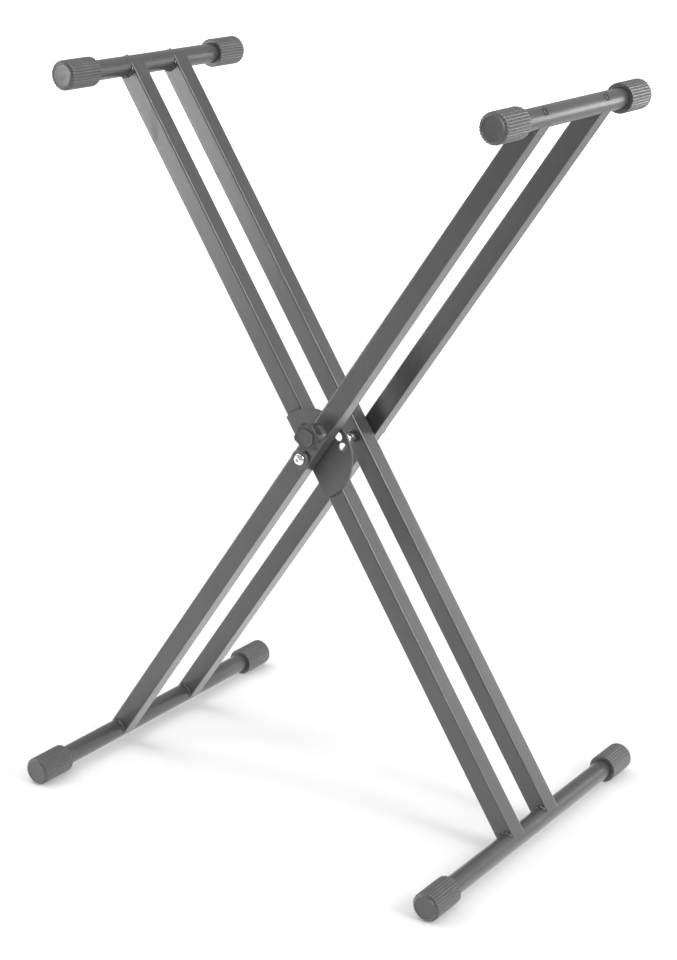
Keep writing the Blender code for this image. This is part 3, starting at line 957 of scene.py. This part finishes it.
@dataclass(frozen=True)
class PivotSet:
    """Bolt, cup washer, filler, flat washer and lock nut of one pair of legs."""

    facing: Facing
    filler: str
    outer: str = "outer_frame"
    inner: str = "inner_frame"
    shank: float = 4.0
    hole: float = 4.5
    head_height: float = 4.6
    socket: float = 5.0
    socket_depth: float = 2.2
    cup_lip: float = 1.0
    nut_flats: float = 13.0
    nut_collar: float = 2.4

    def node(self, word: str) -> str:
        """The full name of one of the set's CAD nodes."""
        return f"{self.facing.value}_{word}"

    def seat(self, word: str) -> Matrix:
        """The frame of one of the set's CAD nodes, its Y inwards."""
        return Place.of(self.node(word)).seat(self.facing)

    def build(self) -> None:
        """Build the set from the head inwards."""
        self.bolt()
        self.cup()
        self.ring(self.filler, NYLON, Slot.PLASTIC)
        self.ring("nut_washer", DARK_ZINC, Slot.ZINC)
        self.nut()

    def bolt(self) -> None:
        """Dome head with a hexagon socket, and a plain shank."""
        place = Place.of(self.node("pivot_bolt"))
        head = place.radius
        dome_height = self.head_height * 0.86
        dome = [
            (head * math.sin(t), dome_height * (1 - math.cos(t)))
            for t in (math.pi / 2 * i / 12 for i in range(13))
        ]
        shank = softened(
            [
                (head, dome_height, 0.0),
                (head, self.head_height, 0.25),
                (self.shank, self.head_height, 0.3),
                (self.shank, place.depth, 0.7),
                (0.0, place.depth, 0.0),
            ]
        )
        blank = Form.turned(dome + shank[1:], 72)
        key = Form.extruded(hexagon(self.socket), -1.0, self.socket_depth)
        bolt = blank.combined("DIFFERENCE", key).moved(self.seat("pivot_bolt"))
        name = self.node("pivot_bolt")
        bolt.piece(f"{name}_chrome", self.outer, CHROME, Slot.CHROME, [name])

    def cup(self) -> None:
        """Cup washer, its lip standing round the bolt's head."""
        name = self.node("pivot_cup")
        place = Place.of(name)
        head = Place.of(self.node("pivot_bolt")).radius
        lip = self.cup_lip
        rim = place.radius
        corners = [
            (rim, place.depth, 0.4),
            (self.hole, place.depth, 0.0),
            (self.hole, lip, 0.0),
            (head + 0.8, lip, 0.3),
            (head + 1.4, 0.0, 0.3),
            (rim - 1.2, 0.0, 0.6),
            (rim, lip + 0.2, 0.8),
        ]
        form = Form.turned(softened(corners, closed=True), 72).moved(self.seat("pivot_cup"))
        form.piece(f"{name}_moulding", self.outer, CUP, Slot.PLASTIC, [name])

    def ring(self, word: str, finish: Finish, slot: Slot) -> None:
        """A plain washer or spacer.

        Args:
            word: the last part of its CAD node's name.
            finish: its finish.
            slot: the record's material slot.
        """
        name = self.node(word)
        place = Place.of(name)
        edge = min(0.25, place.depth / 3)
        corners = [
            (place.radius, 0.0, edge),
            (place.radius, place.depth, edge),
            (self.hole, place.depth, 0.0),
            (self.hole, 0.0, 0.0),
        ]
        form = Form.turned(softened(corners, closed=True), 64).moved(self.seat(word))
        form.piece(f"{name}_ring", self.inner, finish, slot, [name])

    def nut(self) -> None:
        """Lock nut: a turned blank with its crimped collar, cut to a hexagon."""
        name = self.node("pivot_nut")
        place = Place.of(name)
        flats = self.nut_flats / 2
        corners = flats / math.cos(math.pi / 6)
        shoulder = place.depth - self.nut_collar
        bore = self.shank + 0.1
        outline = [
            (bore, 0.0, 0.0),
            (flats * 0.98, 0.0, 0.0),
            (corners, 0.7, 0.0),
            (corners, shoulder - 0.9, 0.0),
            (flats * 0.95, shoulder, 0.2),
            (flats * 0.9, place.depth - 0.5, 0.6),
            (flats * 0.74, place.depth, 0.5),
            (bore, place.depth - 0.2, 0.0),
        ]
        blank = Form.turned(softened(outline, closed=True), 96)
        stock = Form.extruded(hexagon(self.nut_flats), -1.0, place.depth + 1.0)
        form = blank.combined("INTERSECT", stock).moved(self.seat("pivot_nut"))
        form.piece(f"{name}_hexagon", self.outer, DARK_ZINC, Slot.ZINC, [name])


@dataclass(frozen=True)
class LockPlate:
    """Half-disc plate with its ring of locking holes, welded on the front inner leg."""

    node: str = "lock_plate"
    body: str = "inner_frame"
    radius: float = 57.0
    leg_half: float = 12.7
    lock_radius: float = 45.5
    lock_hole: float = 6.0
    bolt_hole: float = 4.5
    pitch: float = math.radians(18.0)
    holes: tuple[int, ...] = (-1, 0, 1, 2)
    edge: float = 0.7

    def build(self, pivot: Vector, up: Vector, pin: Vector) -> None:
        """Stand in for the CAD plate, and weld it.

        Args:
            pivot: a point on the pivot's axis.
            up: the direction up the inner leg.
            pin: a point on the pull pin's axis.
        """
        place = Place.of(self.node)
        reach = math.asin(self.leg_half / self.radius)
        outline = arc(self.radius, math.pi / 2 + reach, -math.pi / 2 - reach, 120)
        plate = Form.extruded(outline, place.low.y, place.high.y)
        across = Vector((up.z, 0.0, -up.x))
        to_pin = Vector((pin.x - pivot.x, 0.0, pin.z - pivot.z))
        pin_turn = math.atan2(to_pin.dot(across), to_pin.dot(up))
        drills = [self.drill(Vector((0.0, 0.0, 0.0)), self.bolt_hole, place)]
        for step in self.holes:
            turn = pin_turn + step * self.pitch
            spot = Vector((math.sin(turn), 0.0, math.cos(turn))) * self.lock_radius
            drills.append(self.drill(spot, self.lock_hole, place))
        form = plate.combined("DIFFERENCE", *drills).bevelled(self.edge, 2)
        lean = Vector((0.0, 0.0, 1.0)).rotation_difference(up).to_matrix().to_4x4()
        here = Matrix.Translation((pivot.x, 0.0, pivot.z)) @ lean
        form.moved(here).piece("lock_plate_steel", self.body, POWDER, Slot.FRAME, [self.node])
        self.welds(here, place)

    def drill(self, spot: Vector, radius: float, place: Place) -> Form:
        """A round cutter through the plate.

        Args:
            spot: the hole's centre, in the leg's own frame.
            radius: its radius.
            place: the plate's own place.

        Returns:
            The cutter.
        """
        front, back = place.low.y - 2.0, place.high.y + 2.0
        rod = Form.turned([(0.0, front), (radius, front), (radius, back), (0.0, back)], 48)
        return rod.moved(Matrix.Translation(spot))

    def welds(self, here: Matrix, place: Place) -> None:
        """A short bead at each end of the plate, where it lies on the leg.

        Args:
            here: the leg's own frame at the pivot.
            place: the plate's own place.
        """
        bead = WeldBead(radius=1.2, wander=0.35)
        back = place.high.y - 0.4
        for word, sign in (("upper", 1.0), ("lower", -1.0)):
            start = math.asin(-self.leg_half * 0.86 / self.radius)
            end = math.asin(self.leg_half * 0.86 / self.radius)
            path = []
            for i in range(28):
                turn = start + (end - start) * i / 27
                x = self.radius * math.sin(turn)
                z = sign * (self.radius * math.cos(turn) + 0.6)
                path.append(here @ Vector((x, back, z)))
            bead.lay(f"lock_plate_{word}_weld", self.body, path, 7 if sign > 0 else 8)


@dataclass(frozen=True)
class PullPin:
    """Pull pin: threaded housing and collar nut on the leg, pin and spring inside, lobed knob before it."""

    leg_body: str = "outer_frame"
    body: str = "lock_plunger"
    bore: float = 6.5
    lip: float = 2.5
    lip_bore: float = 3.5
    collar_flats: float = 22.0
    stem: float = 3.0
    pin: float = 5.0
    pin_length: float = 13.0
    pin_collar: float = 2.5
    wire: float = 1.2
    pull: float = 8.0
    spring_turns: int = 6
    lobes: int = 6
    lobe_turn: float = math.radians(190.7)
    lobe_depth: float = 3.3
    knob_radius: float = 18.6
    knob_edge: float = 1.6
    cap_radius: float = 10.8
    cap_height: float = 1.5

    def build(self) -> None:
        """Build the lock from the leg outwards."""
        self.housing()
        self.collar()
        self.plunger()
        self.spring()
        self.knob()

    def housing(self) -> None:
        """Turned bush with a lip that holds the spring."""
        place = Place.of("lock_housing")
        corners = [
            (place.radius, 0.0, 0.8),
            (place.radius, place.depth, 0.3),
            (self.bore, place.depth, 0.0),
            (self.bore, self.lip, 0.0),
            (self.lip_bore, self.lip, 0.0),
            (self.lip_bore, 0.0, 0.4),
        ]
        form = Form.turned(softened(corners, closed=True), 72).moved(place.seat(Facing.FRONT))
        form.piece("lock_housing_bush", self.leg_body, ZINC, Slot.ZINC, ["lock_housing"])

    def collar(self) -> None:
        """Hexagon collar nut, chamfered at its outer end."""
        place = Place.of("lock_collar_nut")
        housing = Place.of("lock_housing").radius
        flats = self.collar_flats / 2
        corners = flats / math.cos(math.pi / 6)
        bore = housing + 0.15
        outline = [
            (bore, 0.0, 0.2),
            (flats * 0.95, 0.0, 0.2),
            (corners, 1.4, 0.0),
            (corners, place.depth, 0.0),
            (bore, place.depth, 0.0),
        ]
        blank = Form.turned(softened(outline, closed=True), 96)
        stock = Form.extruded(hexagon(self.collar_flats), -1.0, place.depth + 1.0)
        form = blank.combined("INTERSECT", stock).moved(place.seat(Facing.FRONT))
        form.piece("lock_collar_hexagon", self.leg_body, ZINC, Slot.ZINC, ["lock_collar_nut"])

    def plunger(self) -> None:
        """Pin with its collar and stem, tip towards the plate."""
        place = Place.of("lock_pin")
        tip = place.depth
        collar_back = tip - self.pin_length
        collar_front = collar_back - self.pin_collar
        corners = [
            (0.0, 0.0, 0.0),
            (self.stem, 0.0, 0.4),
            (self.stem, collar_front, 0.3),
            (place.radius, collar_front, 0.4),
            (place.radius, collar_back, 0.4),
            (self.pin, collar_back, 0.2),
            (self.pin, tip, 1.2),
            (0.0, tip, 0.0),
        ]
        form = Form.turned(softened(corners), 56).moved(place.seat(Facing.FRONT))
        form.piece("lock_pin_steel", self.body, ZINC, Slot.ZINC, ["lock_pin"])

    def spring(self) -> None:
        """Coiled wire between the pin's collar and the lip."""
        place = Place.of("lock_spring")
        mean = (place.high.z - place.low.z - self.wire) / 2
        start, end = place.low.y + self.wire / 2, place.high.y - self.wire / 2
        steps = self.spring_turns * 32
        curve = bpy.data.curves.new("lock_spring_wire", "CURVE")
        curve.dimensions = "3D"
        curve.bevel_depth = self.wire / 2 * MM
        curve.bevel_resolution = 3
        curve.use_fill_caps = True
        line = curve.splines.new("POLY")
        line.points.add(steps)
        for i in range(steps + 1):
            turn = math.tau * self.spring_turns * i / steps
            y = start + (end - start) * i / steps
            x = place.middle.x + mean * math.cos(turn)
            z = place.middle.z + mean * math.sin(turn)
            line.points[i].co = (x * MM, y * MM, z * MM, 1.0)
        curve.materials.append(WIRE.material())
        scratch = bpy.data.objects.new("lock_spring_line", curve)
        bpy.context.scene.collection.objects.link(scratch)
        mesh = bpy.data.meshes.new_from_object(scratch.evaluated_get(bpy.context.evaluated_depsgraph_get()))
        bpy.data.objects.remove(scratch, do_unlink=True)
        mesh.name = "lock_spring_wire"
        mesh.shade_smooth()
        made = bpy.data.objects.new("lock_spring_wire", mesh)
        bpy.context.scene.collection.objects.link(made)
        seated(made, self.body, ["lock_spring"])
        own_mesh(made)

    def knob(self) -> None:
        """Lobed knob with rounded rims, and the disc set in its face."""
        place = Place.of("lock_knob")
        front = self.cap_height
        mean = self.knob_radius - self.lobe_depth / 2
        outline = []
        steps = self.lobes * 24
        for i in range(steps):
            turn = math.tau * i / steps
            wave = math.cos(self.lobes * (turn - self.lobe_turn))
            reach = mean + self.lobe_depth / 2 * wave
            outline.append((reach * math.cos(turn), reach * math.sin(turn)))
        block = Form.extruded(outline, front, place.depth).bevelled(self.knob_edge, 5, 60.0)
        here = place.seat(Facing.FRONT)
        pin_axis = Place.of("lock_pin").middle
        here.translation = Vector((pin_axis.x, here.translation.y, pin_axis.z))
        block.moved(here).piece("lock_knob_star", self.body, NYLON, Slot.PLASTIC, ["lock_knob"])
        disc = [
            (0.0, 0.25, 0.0),
            (self.cap_radius - 1.6, 0.25, 0.5),
            (self.cap_radius - 1.1, 0.0, 0.2),
            (self.cap_radius, 0.0, 0.6),
            (self.cap_radius, front + 0.5, 0.0),
            (0.0, front + 0.5, 0.0),
        ]
        face = Form.turned(softened(disc), 96).moved(here)
        face.piece("lock_knob_face", self.body, KNOB_FACE, Slot.PLASTIC)


@dataclass(frozen=True)
class SoftBox:
    """A square lamp with soft edges to its shadow, or a reflector that only shows in what is glossy."""

    name: str
    place: tuple[float, float, float]
    aim: tuple[float, float, float]
    width: float
    height: float
    watts: float
    gloss_only: bool = False

    def build(self) -> None:
        """Add the lamp."""
        lamp = bpy.data.lights.new(self.name, "AREA")
        lamp.shape = "RECTANGLE"
        lamp.size = self.width
        lamp.size_y = self.height
        lamp.energy = self.watts
        made = bpy.data.objects.new(self.name, lamp)
        made.location = self.place
        look = Vector(self.aim) - Vector(self.place)
        made.rotation_euler = look.to_track_quat("-Z", "Y").to_euler()
        made.visible_camera = False
        made.visible_diffuse = not self.gloss_only
        bpy.context.scene.collection.objects.link(made)


@dataclass(frozen=True)
class Studio:
    """White floor, soft lamps, plain world and the camera."""

    floor_half: float = 20.0
    floor_color: tuple[float, float, float] = (0.8, 0.8, 0.8)
    near_lift: float = 0.13
    far_lift: float = 1.0
    far_range: tuple[float, float] = (1.2, 5.0)
    # Glossy rays see a painted glow on the floor that fades with distance from the stand: a painted reflection of
    # a lit floor.
    near_painted_glow: float = 0.43
    near_range: tuple[float, float] = (0.5, 0.9)
    middle_gleam: float = 0.22
    middle_range: tuple[float, float] = (1.2, 1.9)
    world_level: float = 0.55
    lens: float = 79.49
    camera_place: tuple[float, float, float] = (1.39606, -2.12320, 1.26174)
    yaw: float = math.radians(33.344)
    pitch: float = math.radians(18.461)
    roll: float = math.radians(1.341)
    lamps: tuple[SoftBox, ...] = (
        SoftBox("backdrop_middle", (1.2, 5.5, 0.85), (1.2, 0.0, 0.85), 2.2, 1.7, 112.0),
        SoftBox("backdrop_right", (2.75, 5.5, 0.85), (2.75, 0.0, 0.85), 1.1, 1.7, 29.7),
        SoftBox("front_left_softbox", (-1.7, -1.4, 0.7), (0.0, 0.0, 0.6), 0.5, 0.7, 11.3),
        SoftBox("front_left_low", (-1.7, -1.4, 0.25), (0.0, 0.0, 0.4), 0.5, 0.4, 8.9),
        SoftBox("left_softbox", (-1.5, 0.0, 2.2), (0.0, 0.0, 0.3), 1.4, 1.4, 19.9),
        SoftBox("right_softbox", (3.0, 0.5, 1.5), (0.0, 0.0, 0.5), 1.5, 2.0, 24.0),
        SoftBox("right_high_softbox", (2.6, -0.2, 2.2), (0.0, 0.0, 0.6), 0.9, 1.3, 30.0),
        SoftBox("right_strip", (2.6, -0.1, 2.9), (0.0, 0.0, 0.6), 1.0, 3.0, 225.0, True),
        SoftBox("top_softbox", (0.3, 0.3, 3.2), (0.3, 0.3, 0.0), 2.5, 2.5, 19.7),
    )

    def build(self) -> None:
        """Set the stage."""
        self.floor()
        self.world()
        for lamp in self.lamps:
            lamp.build()
        self.camera()
        bpy.context.scene.view_settings.view_transform = "Standard"

    def floor(self) -> None:
        """Pale floor that the camera sees as white, with the stand's shadow on it, and a painted glow near the
        stand that only reflections see.
        """
        bm = bmesh.new()
        bmesh.ops.create_grid(bm, x_segments=1, y_segments=1, size=self.floor_half)
        mesh = bpy.data.meshes.new("floor")
        bm.to_mesh(mesh)
        bm.free()
        made = bpy.data.objects.new("floor", mesh)
        bpy.context.scene.collection.objects.link(made)
        graph = Graph("white_floor")
        path = graph.add("ShaderNodeLightPath").outputs
        camera = Level(graph, path["Is Camera Ray"])
        glossy = Level(graph, path["Is Glossy Ray"]).or_more(Level(graph, path["Is Transmission Ray"]))
        reach = self.reach(graph)
        far = reach.ramped(*self.far_range)
        # Painted reflection: glossy rays get extra glow near the stand, while the camera gets only the lift that
        # keeps the floor white.
        near = (1.0 - reach.ramped(*self.near_range)) * self.near_painted_glow
        middle = (1.0 - reach.ramped(*self.middle_range)) * self.middle_gleam
        lift = camera * (far * self.far_lift + self.near_lift) + glossy * (near + middle)
        matt = graph.add("ShaderNodeBsdfDiffuse", None, {"Color": (*self.floor_color, 1.0)})
        glow = graph.add("ShaderNodeEmission", None, {"Strength": lift})
        both = graph.add("ShaderNodeAddShader", None, {0: matt.outputs[0], 1: glow.outputs[0]})
        graph.add("ShaderNodeOutputMaterial", None, {"Surface": both.outputs[0]})
        mesh.materials.append(graph.material)

    def reach(self, graph: Graph) -> Level:
        """Distance on the floor from the stand's middle."""
        made = graph.add("ShaderNodeVectorMath", {"operation": "LENGTH"}, {0: graph.place})
        return Level(graph, made.outputs["Value"])

    def world(self) -> None:
        """Even light from all round, white where the camera sees it."""
        world = bpy.data.worlds.new("studio")
        world.use_nodes = True
        tree = world.node_tree
        tree.nodes.clear()
        path = tree.nodes.new("ShaderNodeLightPath")
        mix = tree.nodes.new("ShaderNodeMapRange")
        tree.links.new(path.outputs["Is Camera Ray"], mix.inputs[0])
        mix.inputs[3].default_value = self.world_level
        mix.inputs[4].default_value = 1.0
        sky = tree.nodes.new("ShaderNodeBackground")
        tree.links.new(mix.outputs[0], sky.inputs["Strength"])
        out = tree.nodes.new("ShaderNodeOutputWorld")
        tree.links.new(sky.outputs[0], out.inputs["Surface"])
        sky.inputs["Color"].default_value = (1.0, 1.0, 1.0, 1.0)
        bpy.context.scene.world = world

    def camera(self) -> None:
        """The photograph's own viewpoint, worked out from the stand's parallel edges."""
        ahead = Vector((
            -math.sin(self.yaw) * math.cos(self.pitch),
            math.cos(self.yaw) * math.cos(self.pitch),
            -math.sin(self.pitch),
        ))
        right = Vector((math.cos(self.yaw), math.sin(self.yaw), 0.0))
        above = right.cross(ahead)
        across = math.cos(self.roll) * right + math.sin(self.roll) * above
        upward = -math.sin(self.roll) * right + math.cos(self.roll) * above
        turn = Matrix((across, upward, -ahead)).transposed().to_4x4()
        lens = bpy.data.cameras.new("camera")
        lens.lens = self.lens
        made = bpy.data.objects.new("camera", lens)
        made.matrix_world = Matrix.Translation(self.camera_place) @ turn
        bpy.context.scene.collection.objects.link(made)
        bpy.context.scene.camera = made


def main() -> None:
    """Build the stand around its frame."""
    logging.basicConfig(level=logging.INFO, format="%(name)s: %(message)s")
    Studio().build()
    Brace("outer_frame", "outer", "right_top", "left_foot").build()
    Brace("inner_frame", "inner", "left_top", "right_foot").build()
    PivotSet(Facing.FRONT, "running_washer").build()
    PivotSet(Facing.REAR, "leg_spacer").build()
    pivot = Place.of("front_pivot_bolt").middle
    inner_up = (Place.of("left_top_bar").middle - Place.of("right_foot_bar").middle).normalized()
    LockPlate().build(pivot, inner_up, Place.of("lock_housing").middle)
    PullPin().build()


if __name__ == "__main__":
    main()
